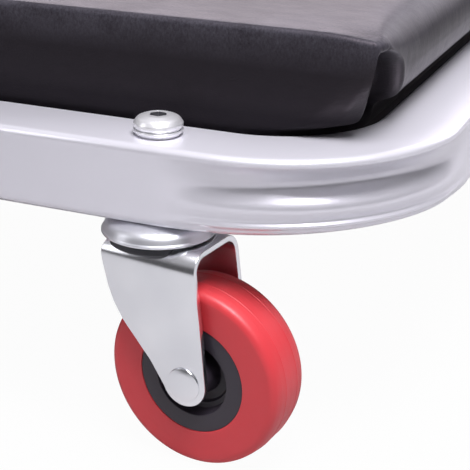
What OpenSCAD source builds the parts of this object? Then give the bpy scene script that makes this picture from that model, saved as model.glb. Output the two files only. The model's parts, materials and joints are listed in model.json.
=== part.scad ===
// Folding creeper seat: a padded garage creeper in three hinged sections. Laid flat it rolls on
// six casters; folded at the knee and the hip it becomes a low seat that rolls on the base's four.
//
// +X runs along the length, towards the end bar of the base; +Y is to the left; +Z is up.
// The origin lies on the floor, under the middle of the creeper laid flat.

/* [Creeper] */
// Length laid flat, between the outer faces of the two end bars
overall_l = 1016; // [960:4:1200]
// Width over the outer faces of the side tubes
frame_w = 420; // [360:2:480]
// Share of that length in the base section, from its end bar to the knee
base_share = 0.345; // [0.33:0.005:0.36]
// Share of that length in the middle section, from the knee to the hip
middle_share = 0.35; // [0.33:0.005:0.365]

/* [Frame tube] */
// Width of the tube, seen from above
tube_w = 32; // [28:0.5:36]
// Height of the tube
tube_h = 31; // [27:0.5:35]
// Thickness of the tube's wall
tube_wall = 1.5; // [1.2:0.1:2.5]
// Outside radius of the tube's four long edges
tube_r = 3; // [2:0.25:4]
// Inside radius of the two bends of each end
bend_r = 44; // [40:1:60]
// How far the outer wall of a bend has sunk between its edges
bend_dent = 6.5; // [0:0.5:8]
// How far the lower outer edge of a bend is drawn in
bend_tuck = 11; // [0:0.5:12]
// Length over which a bend's distortion runs out into each straight
bend_run = 20; // [12:1:24]

/* [Tube plugs] */
// Gap from a joint line to the face of each plug beside it
joint_gap = 1; // [0.5:0.25:3]
// Thickness of a plug's flange
plug_flange = 2; // [1.5:0.25:4]
// How deep a plug's sleeve reaches into the tube
plug_depth = 14; // [8:1:24]
// Wall of a plug's sleeve
plug_wall = 2; // [1.5:0.25:3]

/* [Cross straps] */
// Width of a pressed channel strap
strap_w = 30; // [22:1:40]
// Depth of a strap's side flanges
strap_h = 12; // [8:0.5:16]
// Sheet thickness of a strap
strap_t = 2; // [1.5:0.25:3]
// Distance of a strap's top below the top of the tubes
strap_drop = 13; // [11:0.5:15]
// Distance from the last strap's edge to the start of the bend
strap_end_gap = 1; // [0:0.5:20]
// Distance from a joint line to the middle of the strap beside it
strap_joint_x = 32; // [24:1:60]

/* [Pads] */
// Thickness of the plywood board under each pad
board_t = 9; // [6:0.5:11]
// How far a board stays inside the outline of its pad
board_inset = 3; // [2:0.5:8]
// Height of the foam pad above its board, at the rim
pad_h = 44; // [30:1:50]
// Gap between the side of a pad and the side tube
pad_gap = 1.5; // [1:0.25:6]
// Gap between a pad and the end bar
pad_end_gap = 4; // [2:0.5:12]
// Gap from a joint line to the pads beside it
pad_joint_gap = 5; // [4:0.5:12]
// Plan radius of the pad corners at a joint
pad_joint_r = 18; // [17:1:30]
// Radius of the roll along the top edge of a pad
pad_roll = 7; // [5:0.5:14]
// How far a pad bulges out over its end bar, from its foot
pad_over = 13; // [0:0.5:16]
// Plan radius of a pad's corners where they stand above the bends
pad_square_r = 10; // [6:0.5:20]
// Share of that bulge that the roll over the end bar takes back
pad_soft_share = 0.7; // [0:0.05:1]
// Rise of a pad's crown above its top edge
pad_crown = 3.5; // [0:0.25:6]
// How far the sides of a pad pull in between its corners
pad_draw = 1.5; // [0:0.25:4]
// How far the top edge dips at the two folded corners by an end bar
pad_dip = 3; // [0:0.5:12]

/* [Pad screws] */
// Shank diameter of a pad screw
screw_d = 4; // [3:0.5:5]
// Head diameter of a pad screw
screw_head_d = 9; // [7:0.5:11]
// Height of a pad screw's head
screw_head_h = 2.6; // [2:0.2:4]
// Distance of the screws from the middle of their strap
screw_y = 120; // [60:5:140]

/* [Knee hinge] */
// Height of the knee's pivot above the top of the tubes
knee_rise = 41.4; // [40:0.2:50]
// Radius of a knee ear around its pivot
knee_eye_r = 13; // [12:0.5:15]
// Length of a knee ear's welded foot
knee_foot_l = 28; // [24:1:32]
// Sheet thickness of the hinge ears
ear_t = 4; // [3:0.5:5]
// Gap between the two ears of a hinge
ear_gap = 1; // [0.6:0.1:2]
// Distance of a joint line from the nearest end of an ear's foot
ear_foot_gap = 4; // [3:0.5:8]
// Distance of the ears' gap at the knee from the middle of the tube, towards the pads
knee_gap_y = 8.5; // [6:0.5:9]
// Diameter of the pivot bolts and rivets
pivot_d = 10; // [8:0.5:12]
// Angle through which the knee folds
knee_fold = 148; // [140:1:152]

/* [Hip hinge] */
// Depth of the hip's pivot below the underside of the tubes
hip_drop = 14; // [13.5:0.5:18]
// Radius of a hip ear around its pivot
hip_eye_r = 12; // [10:0.5:13]
// Length of a hip ear's welded foot
hip_foot_l = 34; // [28:1:50]
// Thickness of a hip ear's foot where it meets the tube
hip_foot_h = 2; // [1:0.5:4]
// Diameter of the stop pin that ends the hip's fold
stop_d = 8; // [6:0.5:10]
// Distance of the stop pin along the edge that meets it
stop_reach = 8; // [6:0.5:14]
// Angle through which the hip folds
hip_fold = 148; // [140:1:152]

/* [Knee locks] */
// Distance of a lock hole from the knee's pivot
lock_r = 22; // [21:0.5:24]
// Direction of the lock pin from the pivot, in degrees from +X towards +Z
lock_angle = -140; // [-145:1:-130]
// Diameter of a lock pin
lock_d = 8; // [6:0.5:9]
// Radius of the ears' metal around a lock hole
lock_eye_r = 8.5; // [7.5:0.5:9]
// Travel of a lock pin
lock_travel = 6; // [5:0.5:8]
// Length of the barrel that guides a lock pin
barrel_l = 12; // [8:1:18]
// Outside diameter of that barrel
barrel_d = 16; // [14:0.5:18]
// Diameter of a lock pin's knob
knob_d = 20; // [17:0.5:20]
// Length of a lock pin's knob
knob_l = 10; // [8:1:14]
// Radius of the knob's rounded rim
knob_r = 2; // [1:0.25:3]

/* [Fasteners] */
// Thickness of a pivot nut
nut_h = 8; // [5:0.5:10]
// Width across the flats of the nuts
nut_flats = 16; // [15:1:18]
// Head diameter of the button-headed bolts
head_d = 18.6; // [16:0.2:20]
// Height of the side of a button head
head_side = 4; // [2:0.2:5]
// Rise of the dome of a button head
head_dome = 1.6; // [1:0.1:3]
// Bevel under the rim of a button head
head_bevel = 0.8; // [0:0.1:1.5]
// Width across the flats of the hexagon socket
socket_flats = 6; // [5:0.5:7]
// Depth of the hexagon socket
socket_depth = 3.2; // [2:0.2:4]
// Diameter of the washer under each caster bolt
washer_d = 18.6; // [16:0.2:24]
// Thickness of that washer
washer_t = 2.4; // [1:0.1:3]
// Diameter of the caster bolts
bolt_d = 10; // [8:0.5:10]
// How far a bolt stands out past its nut
bolt_proud = 1; // [0:0.5:3]

/* [Casters] */
// Distance of the end casters' bolts from the outer face of the end bar
caster_end_x = 100; // [98:1:120]
// Distance of the knee casters' bolts from the knee
caster_knee_x = 46; // [46:1:60]
// Angle by which the casters stand turned out, as photographed
toe_out = 6.5; // [0:0.5:20]
// Diameter of a wheel
wheel_d = 75; // [70:0.5:76]
// Width of a wheel over its side faces
wheel_w = 24; // [20:0.5:25]
// Radius of the shoulders of the tread
shoulder_r = 4; // [2:0.25:6]
// Rise of the tread's middle above its shoulders
tread_crown = 0.4; // [0:0.1:1]
// Distance of the axle behind the swivel axis
trail = 21.3; // [16:0.1:24]
// Outside diameter of the hub
hub_d = 44.8; // [40:0.2:50]
// Radial width of the hub's flat rim
hub_rim = 7; // [3:0.2:9]
// Radius of the hub's boss
boss_r = 8; // [7:0.25:10]
// Thickness of the hub's web
web_t = 6; // [4:0.5:10]
// How far the hub's rim lies below the side face of the tyre
hub_sink = 0.4; // [0:0.1:1]
// Diameter of an axle
axle_d = 8; // [6:0.5:9]
// Head diameter of an axle
axle_head_d = 13.7; // [12:0.1:15]
// Thickness of an axle's heads
axle_head_h = 1; // [0.6:0.1:2]
// Edge rounding of an axle's heads
axle_head_r = 0.4; // [0.2:0.1:0.5]

/* [Swivel forks] */
// Half the width of a fork, to the outer face of a leg
fork_half = 16.9; // [16.5:0.1:18]
// Sheet thickness of a fork
fork_t = 2.5; // [2:0.1:3]
// Outside radius of the bends between a fork's top and its legs
fork_bend = 8; // [5:0.25:9]
// Distance from the top of a wheel up to the top of its fork
fork_clear = 15; // [14:0.5:20]
// Reach of a fork behind the swivel axis
fork_back = 15.8; // [14:0.1:18]
// Reach of a fork's top in front of the swivel axis
fork_front = 25; // [22:0.1:27]
// Radius of a leg's rounded foot around the axle
foot_r = 9.3; // [8:0.1:11]
// Radius of the round dish pressed into a fork's top
dish_r = 20; // [17:0.5:20]

/* [Swivel cups] */
// Radius of a cup at its rim
cup_r = 22.1; // [21.5:0.1:24]
// Height of a cup, from the tube to its rim
cup_h = 6.5; // [6:0.1:6.8]
// Gap between the rim of a cup and the top of the fork
cup_gap = 1.1; // [0.8:0.1:1.4]
// Sheet thickness of a cup
cup_t = 2; // [1.5:0.1:2.4]
// Radius of a cup's rounded shoulder
cup_shoulder = 3.5; // [2.5:0.1:4]
// How far a cup's skirt flares out to its rim
cup_flare = 0.6; // [0:0.1:1.5]
// Height of a cup's straight lip
cup_lip = 0.5; // [0.2:0.1:1]
// Outside diameter of the kingpin sleeve
sleeve_d = 14; // [13:0.25:16]
// Diameter of the bearing balls
ball_d = 5; // [4:0.1:5]
// Radius of the ring of balls
ball_ring_r = 15; // [13:0.25:16]
// Number of balls in a ring
ball_count = 12; // [8:1:14]
// Diameter of a caster nut's flange
flange_d = 22; // [19:0.5:24]
// Thickness of that flange
flange_t = 2; // [1:0.25:3]
// Height of a caster nut's hexagon
caster_nut_h = 6; // [5:0.5:8]

/* [Fits] */
// Radial clearance of turning and sliding fits
run_fit = 0.06; // [0.03:0.01:0.1]
// Radial clearance round bolts and screws
bolt_fit = 0.15; // [0.1:0.05:0.4]
// Gap between faces that move past each other
face_gap = 0.3; // [0.2:0.05:0.6]
// Gap between pieces of one wheel, ball ring or plug
slip_gap = 0.05; // [0.02:0.01:0.15]

/* [Hidden] */
cut = 5; // overrun of every cut
fine = 48; // sides drawn on the fine round faces
corner_steps = 3; // steps round one long edge of the tube
bend_steps = 10; // steps round one bend
pad_corner_steps = 7; // steps round one corner of a pad
pad_side_steps = 5; // steps along one side of a pad

// Heights: the wheels carry the forks, and the forks' balls and cups carry the tubes
fork_h = wheel_d + fork_clear;
ride_h = fork_h + cup_gap + cup_h; // underside of the tubes

// Places along the creeper
end_x = overall_l / 2;
middle_l = overall_l * middle_share;
knee_x = end_x - overall_l * base_share;
hip_x = knee_x - middle_l;
rail_y = (frame_w - tube_w) / 2;
inner_y = rail_y - tube_w / 2;
bend_x = end_x - tube_w - bend_r;
tube_mid = ride_h + tube_h / 2;
tube_top = ride_h + tube_h;
tube_end = joint_gap + plug_flange; // from a joint line to the tube's cut end
strap_top = tube_top - strap_drop;
board_top = strap_top + board_t;

// Knee and hip
knee_z = tube_top + knee_rise;
hip_z = ride_h - hip_drop;
knee_gap_at = rail_y - knee_gap_y; // distance of the knee ears' gap from the creeper's middle
knee_outer = knee_gap_at + ear_gap / 2; // inner face of the base's ears
knee_inner = knee_gap_at - ear_gap / 2; // outer face of the middle's ears
lock_at = [lock_r * cos(lock_angle), lock_r * sin(lock_angle)];
seat_lock_at = [lock_r * cos(lock_angle + knee_fold), lock_r * sin(lock_angle + knee_fold)];

// Casters: name, place of the bolt along X, side of the creeper
CASTERS = [
    ["base_end_right", end_x - caster_end_x, -1],
    ["base_end_left", end_x - caster_end_x, 1],
    ["base_knee_right", knee_x + caster_knee_x, -1],
    ["base_knee_left", knee_x + caster_knee_x, 1],
    ["seat_end_right", caster_end_x - end_x, -1],
    ["seat_end_left", caster_end_x - end_x, 1],
];
BASE_CASTERS = [for (c = CASTERS) if (c[1] > knee_x) c];
SEAT_CASTERS = [for (c = CASTERS) if (c[1] < hip_x) c];
axle_z = wheel_d / 2;
cup_rim_z = ride_h - cup_h;
ball_z = (ride_h - cup_t + fork_h) / 2; // midway between the cup and the fork
sleeve_end = fork_h - fork_t - 2 * face_gap;
nut_end = sleeve_end - flange_t - caster_nut_h;

// Straps of each section, as places along X
last_strap = end_x - tube_w - bend_r - strap_end_gap - strap_w / 2;
BASE_STRAPS = strap_row(knee_x + strap_joint_x, last_strap);
MIDDLE_STRAPS = strap_row(hip_x + strap_joint_x, knee_x - strap_joint_x);
SEAT_STRAPS = strap_row(-last_strap, hip_x - strap_joint_x);

// Outline of a fork's rear edge: shares of the way forward to the foot and down to the axle
fork_back_shares = [[0, 0.1], [0.04, 0.21], [0.12, 0.37], [0.2, 0.48], [0.35, 0.61], [0.56, 0.74], [0.79, 0.88]];
foot_turn = [198, 365]; // angles between which a fork's foot is round
// Sunk outer wall of a bend, from its lower edge up: share of the half height, of the dent
dent_shares = [[-0.62, 0.95], [-0.3, 0.62], [0.05, 0.8], [0.35, 1], [0.66, 0.45]];
bend_power = 1.5; // how quickly the distortion of a bend grows towards its middle
// A pad from its board to its roll: share of the side's height, of the drawn-in foot, of the bulge
pad_side_shares = [[0, 1, 0], [0.15, 0.6, 0], [0.27, 0.3, 0.35], [0.4, 0.1, 0.65], [0.6, 0, 0.92], [1, 0, 1]];
pad_under_draw = 2.5; // how far the foot of a pad is drawn in
pad_roll_angles = [30, 60, 90];
// Crown of a pad: share of the way in from the roll to the middle of the pad
crown_shares = [0.07, 0.2, 0.4, 0.65, 0.9];
least_r = 2; // least plan radius of a drawn-in corner

// Places of three straps, evenly spaced between the first and the last
function strap_row(first, last) = [first, (first + last) / 2, last];

// Points of an arc about a centre, from one angle to another
function arc(centre, r, from, to, steps) =
    [for (k = [0:steps]) let (a = from + (to - from) * k / steps)
        [centre[0] + r * cos(a), centre[1] + r * sin(a)]];

// A rectangle about the origin with rounded corners, anticlockwise from its lower right corner
function round_rect(half_w, half_h, r, steps) = concat(
    arc([half_w - r, r - half_h], r, -90, 0, steps),
    arc([half_w - r, half_h - r], r, 0, 90, steps),
    arc([r - half_w, half_h - r], r, 90, 180, steps),
    arc([r - half_w, r - half_h], r, 180, 270, steps)
);

// Mirrored copies on both sides of the creeper
module both_sides() {
    children();
    mirror([0, 1, 0]) children();
}

// Places a part of a caster at its bolt, turned out as photographed
module at_caster(c) {
    translate([c[1], c[2] * rail_y, 0]) rotate([0, 0, c[2] * toe_out]) children();
}

// Stands an outline drawn in X and Z upright, with its thickness from y to y + t
module upright(y, t) {
    translate([0, y + t, 0]) rotate([90, 0, 0]) linear_extrude(t) children();
}

// Bent frame of the base and the seat

// Section of the tube, drawn outward and up from its middle, sunk by a share of the distortion.
// The inside of the wall is the same section, smaller by the wall all round.
function tube_section(wall, sunk) =
    let (a = tube_w / 2 - wall, b = tube_h / 2 - wall, r = tube_r - wall / 2)
    concat(
        [for (q = arc([a - r, r - b], r, -90, 0, corner_steps)) [q[0] - bend_tuck * sunk, q[1]]],
        [for (s = dent_shares)
            let (rise = (s[0] + 1) / 2) // the tuck of the lower edge fades out up the wall
            [a - sunk * (bend_dent * s[1] + (bend_tuck - bend_dent) * (1 - rise) * (1 - rise)),
                s[0] * (b - r)]],
        arc([a - r, b - r], r, 0, 90, corner_steps),
        arc([r - a, b - r], r, 90, 180, corner_steps),
        arc([r - a, r - b], r, 180, 270, corner_steps)
    );

// Stations of one bend: place, heading and share of the distortion
function bend_stations(centre, heading) =
    let (
        mid_r = bend_r + tube_w / 2,
        full = 2 * bend_run + mid_r * PI / 2,
        turned = heading + 90,
        sunk = function (s) pow(max(0, sin(180 * s / full)), bend_power),
        start = centre + mid_r * [sin(heading), -cos(heading)],
        stop = centre + mid_r * [sin(turned), -cos(turned)]
    )
    concat(
        [for (d = [1, 0.5]) [start - d * bend_run * [cos(heading), sin(heading)], heading,
            sunk((1 - d) * bend_run)]],
        [for (k = [0:bend_steps]) let (a = heading + 90 * k / bend_steps)
            [centre + mid_r * [sin(a), -cos(a)], a, sunk(bend_run + mid_r * PI / 2 * k / bend_steps)]],
        [for (d = [0.5, 1]) [stop + d * bend_run * [cos(turned), sin(turned)], turned,
            sunk(full - (1 - d) * bend_run)]]
    );

// Side faces between rings of n points each, flipped for an inner surface
function skin(first, rings, n, flip) =
    [for (k = [0:rings - 2], i = [0:n - 1])
        let (a = first + k * n + i, b = first + k * n + (i + 1) % n)
        each flip ? [[a, a + n, b], [b, a + n, b + n]] : [[a, b, a + n], [b, b + n, a + n]]];

// One tube bent to a U, from two cut ends at x = start round the end bar
module u_tube(start) {
    corner = rail_y - bend_r - tube_w / 2;
    stations = concat(
        [[[start, -rail_y], 0, 0]],
        bend_stations([bend_x, -corner], 0),
        bend_stations([bend_x, corner], 90),
        [[[start, rail_y], 180, 0]]
    );
    rings = len(stations);
    n = len(tube_section(0, 0));
    points = [for (wall = [0, tube_wall], s = stations, q = tube_section(wall, s[2]))
        [s[0][0] + q[0] * sin(s[1]), s[0][1] - q[0] * cos(s[1]), tube_mid + q[1]]];
    inner = rings * n;
    far = (rings - 1) * n;
    ends = [for (i = [0:n - 1]) let (j = (i + 1) % n)
        each [[i, inner + i, j], [j, inner + i, inner + j],
            [far + i, far + j, far + inner + i], [far + j, far + inner + j, far + inner + i]]];
    polyhedron(points, concat(skin(0, rings, n, false), skin(inner, rings, n, true), ends));
}

// Through holes for the caster bolts of one section
module caster_holes(casters) {
    for (c = casters)
        translate([c[1], c[2] * rail_y, ride_h - cut])
            cylinder(h = tube_h + 2 * cut, d = bolt_d + 2 * bolt_fit, $fn = fine);
}

module base_frame() {
    color("silver") difference() {
        u_tube(knee_x + tube_end);
        caster_holes(BASE_CASTERS);
    }
}

module seat_frame() {
    color("silver") difference() {
        mirror([1, 0, 0]) u_tube(tube_end - hip_x);
        caster_holes(SEAT_CASTERS);
    }
}

// Straight hollow rails of the middle section
module middle_rails() {
    color("silver") for (side = [-1, 1])
        translate([hip_x + tube_end, side * rail_y, tube_mid]) rotate([90, 0, 90])
            linear_extrude(middle_l - 2 * tube_end) difference() {
                polygon(round_rect(tube_w / 2, tube_h / 2, tube_r, corner_steps));
                polygon(round_rect(tube_w / 2 - tube_wall, tube_h / 2 - tube_wall,
                    tube_r - tube_wall / 2, corner_steps));
            }
}

// Plugs in the open tube ends

// One plug whose flange covers a tube's end; dir is the way its sleeve points along X
module tube_plug(joint, side, dir) {
    core_w = tube_w / 2 - tube_wall - slip_gap;
    core_h = tube_h / 2 - tube_wall - slip_gap;
    core_r = tube_r - tube_wall / 2;
    translate([joint + dir * joint_gap, side * rail_y, tube_mid])
        rotate([90, 0, 90]) mirror([0, 0, dir > 0 ? 0 : 1]) {
            linear_extrude(plug_flange)
                polygon(round_rect(tube_w / 2, tube_h / 2, tube_r, corner_steps));
            linear_extrude(plug_flange + plug_depth) difference() {
                polygon(round_rect(core_w, core_h, core_r, corner_steps));
                square([2 * (core_w - plug_wall), 2 * (core_h - plug_wall)], center = true);
            }
        }
}

module base_tube_plugs() {
    color("dimgray") for (side = [-1, 1]) tube_plug(knee_x, side, 1);
}

module middle_tube_plugs() {
    color("dimgray") for (side = [-1, 1]) {
        tube_plug(knee_x, side, -1);
        tube_plug(hip_x, side, 1);
    }
}

module seat_tube_plugs() {
    color("dimgray") for (side = [-1, 1]) tube_plug(hip_x, side, -1);
}

// Straps, boards and screws

// Pressed channels welded between the side tubes, open below
module straps(places) {
    color("silver") for (x = places) difference() {
        translate([x, inner_y, strap_top]) rotate([90, 0, 0]) linear_extrude(2 * inner_y) difference() {
            translate([-strap_w / 2, -strap_h]) square([strap_w, strap_h]);
            translate([strap_t - strap_w / 2, -strap_h - strap_t])
                square([strap_w - 2 * strap_t, strap_h]);
        }
        for (side = [-1, 1])
            translate([x, side * screw_y, strap_top - strap_t - cut])
                cylinder(h = strap_t + 2 * cut, d = screw_d + 2 * bolt_fit, $fn = fine);
    }
}

module base_straps() { straps(BASE_STRAPS); }
module middle_straps() { straps(MIDDLE_STRAPS); }
module seat_straps() { straps(SEAT_STRAPS); }

// Pan-headed screws up through the straps into the board
module pad_screws(places) {
    color("gray") for (x = places, side = [-1, 1])
        translate([x, side * screw_y, strap_top - strap_t]) {
            translate([0, 0, -screw_head_h]) cylinder(h = screw_head_h, d = screw_head_d, $fn = fine);
            cylinder(h = strap_t + board_t - face_gap, d = screw_d, $fn = fine);
        }
}

module base_pad_screws() { pad_screws(BASE_STRAPS); }
module middle_pad_screws() { pad_screws(MIDDLE_STRAPS); }
module seat_pad_screws() { pad_screws(SEAT_STRAPS); }

// Corner radius of a pad by an end bar, which follows the bend of the tube
pad_end_r = bend_r - pad_gap;
// Plan of each pad: its two ends along X and the corner radius at each
BASE_PLAN = [knee_x + pad_joint_gap, end_x - tube_w - pad_end_gap, pad_joint_r, pad_end_r];
MIDDLE_PLAN = [hip_x + pad_joint_gap, knee_x - pad_joint_gap, pad_joint_r, pad_joint_r];
SEAT_PLAN = [pad_end_gap + tube_w - end_x, hip_x - pad_joint_gap, pad_end_r, pad_joint_r];

// Outline of a pad or board drawn in by an inset, with its sides pulled in between the corners.
// The end by an end bar bulges out by over, and its corners grow square by a share.
// Each point is [x, y, fold], where fold is 1 in the middle of a folded corner.
function pad_outline(plan, inset, draw, over, square_share) =
    let (
        folded = [plan[3] > pad_joint_r ? 1 : 0, plan[2] > pad_joint_r ? 1 : 0],
        end_r = pad_end_r + (pad_square_r - pad_end_r) * square_share,
        half_y = inner_y - pad_gap - inset,
        lo = plan[0] + inset - folded[1] * over,
        hi = plan[1] - inset + folded[0] * over,
        r_lo = max(least_r, (folded[1] > 0 ? end_r : plan[2]) - inset),
        r_hi = max(least_r, (folded[0] > 0 ? end_r : plan[3]) - inset),
        steps = pad_corner_steps,
        corners = [
            arc([hi - r_hi, r_hi - half_y], r_hi, -90, 0, steps),
            arc([hi - r_hi, half_y - r_hi], r_hi, 0, 90, steps),
            arc([lo + r_lo, half_y - r_lo], r_lo, 90, 180, steps),
            arc([lo + r_lo, r_lo - half_y], r_lo, 180, 270, steps)
        ]
    )
    [for (c = [0:3]) let (
        out = [cos(90 * c), sin(90 * c)],
        last = corners[c][steps],
        next = corners[(c + 1) % 4][0],
        fold = folded[floor(c / 2)]
    ) each concat(
        [for (k = [0:steps]) concat(corners[c][k], [fold * pow(sin(180 * k / steps), 2)])],
        [for (k = [1:pad_side_steps - 1]) let (t = k / pad_side_steps)
            concat(last + (next - last) * t - draw * sin(180 * t) * out, [0])]
    )];

// Plywood board with clearance holes for its screws
module board(plan, places) {
    color("burlywood") difference() {
        translate([0, 0, strap_top]) linear_extrude(board_t)
            polygon([for (q = pad_outline(plan, board_inset, 0, 0, 0)) [q[0], q[1]]]);
        for (x = places, side = [-1, 1])
            translate([x, side * screw_y, strap_top - cut])
                cylinder(h = board_t + cut - slip_gap, d = screw_d + 2 * bolt_fit, $fn = fine);
    }
}

module base_board() { board(BASE_PLAN, BASE_STRAPS); }
module middle_board() { board(MIDDLE_PLAN, MIDDLE_STRAPS); }
module seat_board() { board(SEAT_PLAN, SEAT_STRAPS); }

// Crowned foam pad: rings of the outline stacked from the board, over the roll, to the crown.
// Each level is [inset, height, share of the corners' dip, share of the way in to the middle,
// share of the bulge over the end bar, share of the way to square corners].
module pad(plan) {
    side_h = pad_h - pad_roll;
    middle = (plan[0] + plan[1]) / 2;
    levels = concat(
        [for (s = pad_side_shares) [s[1] * pad_under_draw, s[0] * side_h, s[0] * s[0], 0, s[2], s[2]]],
        [for (a = pad_roll_angles)
            [pad_roll * (1 - cos(a)), side_h + pad_roll * sin(a), 1, 0, 1 - pad_soft_share * (1 - cos(a)), 1]],
        [for (s = crown_shares)
            [pad_roll, pad_h + pad_crown * s * (2 - s), pow(max(0, 1 - s / crown_shares[2]), 2), s,
                1 - pad_soft_share, 1]]
    );
    rings = len(levels);
    n = len(pad_outline(plan, 0, 0, 0, 0));
    points = [for (level = levels, q = pad_outline(plan, level[0], pad_draw, pad_over * level[4], level[5]))
        [middle + (q[0] - middle) * (1 - level[3]), q[1] * (1 - level[3]),
            board_top + level[1] - pad_dip * q[2] * level[2]]];
    top = (rings - 1) * n;
    polyhedron(points, concat(
        skin(0, rings, n, true),
        [[for (i = [0:n - 1]) i], [for (i = [0:n - 1]) top + n - 1 - i]]
    ));
}

module base_pad() { color("dimgray") pad(BASE_PLAN); }
module middle_pad() { color("dimgray") pad(MIDDLE_PLAN); }
module seat_pad() { color("dimgray") pad(SEAT_PLAN); }

// Hinges

// Outline of a knee ear in X and Z about its pivot; dir is the way its foot lies along X
module knee_ear_outline(dir, eyes) {
    hull() {
        circle(knee_eye_r, $fn = fine);
        translate([dir > 0 ? ear_foot_gap : -ear_foot_gap - knee_foot_l, -knee_rise])
            square([knee_foot_l, ear_t]);
    }
    hull() {
        circle(knee_eye_r, $fn = fine);
        for (q = eyes) translate(q) circle(lock_eye_r, $fn = fine);
    }
}

// Bores through an ear for its pivot and for the lock pin
module ear_bores(y, spots) {
    translate([0, y - cut, 0]) rotate([-90, 0, 0])
        cylinder(h = ear_t + 2 * cut, d = pivot_d + 2 * run_fit, $fn = fine);
    for (q = spots) translate([q[0], y - cut, q[1]]) rotate([-90, 0, 0])
        cylinder(h = ear_t + 2 * cut, d = lock_d + 2 * run_fit, $fn = fine);
}

// Barrels that guide the lock pins, welded on the outside of the base's ears
module lock_barrel() {
    translate([lock_at[0], knee_outer + ear_t, lock_at[1]]) rotate([-90, 0, 0]) difference() {
        cylinder(h = barrel_l, d = barrel_d, $fn = fine);
        translate([0, 0, -cut]) cylinder(h = barrel_l + 2 * cut, d = lock_d + 2 * run_fit, $fn = fine);
    }
}

module base_hinge_ears() {
    color("gainsboro") both_sides() translate([knee_x, 0, knee_z]) {
        difference() {
            upright(knee_outer, ear_t) knee_ear_outline(1, [lock_at]);
            ear_bores(knee_outer, [lock_at]);
        }
        lock_barrel();
    }
}

// Outline of a hip ear in X and Z about its pivot; dir is the way its foot lies along X
module hip_ear_outline(dir) {
    hull() {
        circle(hip_eye_r, $fn = fine);
        translate([dir > 0 ? ear_foot_gap : -ear_foot_gap - hip_foot_l, hip_drop - hip_foot_h])
            square([hip_foot_l, hip_foot_h]);
    }
}

// The seat ear's leading edge touches its eye at edge_at, seen from the pivot, when it is flat
foot_tip = [-ear_foot_gap - hip_foot_l, hip_drop - hip_foot_h];
edge_at = 180 - atan2(foot_tip[1], -foot_tip[0]) + acos(hip_eye_r / norm(foot_tip));
stop_turn = edge_at + hip_fold;
stop_at = (hip_eye_r + face_gap + stop_d / 2) * [cos(stop_turn), sin(stop_turn)]
    + stop_reach * [sin(stop_turn), -cos(stop_turn)];

module middle_hinge_ears() {
    color("gainsboro") both_sides() {
        translate([knee_x, 0, knee_z]) difference() {
            upright(knee_inner - ear_t, ear_t) knee_ear_outline(-1, [lock_at, seat_lock_at]);
            ear_bores(knee_inner - ear_t, [lock_at, seat_lock_at]);
        }
        translate([hip_x, 0, hip_z]) {
            difference() {
                upright(rail_y + ear_gap / 2, ear_t) hip_ear_outline(1);
                ear_bores(rail_y + ear_gap / 2, []);
            }
            // stop pin, riveted in the middle's ear and reaching across the seat's
            translate([stop_at[0], rail_y - ear_gap / 2 - ear_t, stop_at[1]]) rotate([-90, 0, 0])
                cylinder(h = 2 * ear_t + ear_gap, d = stop_d, $fn = fine);
        }
    }
}

module seat_hinge_ears() {
    color("gainsboro") both_sides() translate([hip_x, 0, hip_z]) difference() {
        upright(rail_y - ear_gap / 2 - ear_t, ear_t) hip_ear_outline(-1);
        ear_bores(rail_y - ear_gap / 2 - ear_t, []);
    }
}

// Fasteners

// Button-headed bolt, head up, its head resting at z = 0 and its shank reaching down
module button_bolt(d, shank) {
    dome_r = (head_d * head_d / 4 + head_dome * head_dome) / (2 * head_dome);
    difference() {
        union() {
            rotate_extrude($fn = fine) polygon([
                [0, 0],
                [head_d / 2 - head_bevel, 0],
                [head_d / 2, head_bevel],
                [head_d / 2, head_side],
                [0, head_side]
            ]);
            intersection() {
                translate([0, 0, head_side + head_dome - dome_r]) sphere(dome_r, $fn = fine);
                cylinder(h = head_side + 2 * head_dome, d = head_d, $fn = fine);
            }
            translate([0, 0, -shank]) cylinder(h = shank + head_side, d = d, $fn = fine);
        }
        translate([0, 0, head_side + head_dome - socket_depth])
            cylinder(h = socket_depth + cut, d = socket_flats / cos(30), $fn = 6);
    }
}

// Hexagon nut standing on z = 0, bored for its bolt
module hex_nut(h, bore) {
    difference() {
        cylinder(h = h, d = nut_flats / cos(30), $fn = 6);
        translate([0, 0, -cut]) cylinder(h = h + 2 * cut, d = bore + 2 * slip_gap, $fn = fine);
    }
}

module knee_pivot_bolts() {
    head_at = knee_inner - ear_t - face_gap;
    color("gainsboro") both_sides() translate([knee_x, head_at, knee_z]) rotate([90, 0, 0])
        button_bolt(pivot_d, knee_outer + ear_t + nut_h + bolt_proud - head_at);
}

module knee_pivot_nuts() {
    color("gainsboro") both_sides() translate([knee_x, knee_outer + ear_t, knee_z])
        rotate([-90, 0, 0]) hex_nut(nut_h, pivot_d);
}

// Rivets of the hip, headed at both ends
module hip_pivot_rivets() {
    reach = ear_t + ear_gap / 2 + face_gap / 2;
    color("gainsboro") both_sides() translate([hip_x, rail_y, hip_z]) rotate([-90, 0, 0])
        rotate_extrude($fn = fine) polygon(concat(
            [[0, -reach - head_dome - head_bevel]],
            [[pivot_d / 2, -reach - head_dome - head_bevel], [head_d / 2 - head_bevel, -reach - head_dome]],
            [[head_d / 2 - head_bevel, -reach], [pivot_d / 2, -reach]],
            [[pivot_d / 2, reach], [head_d / 2 - head_bevel, reach]],
            [[head_d / 2 - head_bevel, reach + head_dome], [pivot_d / 2, reach + head_dome + head_bevel]],
            [[0, reach + head_dome + head_bevel]]
        ));
}

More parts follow.
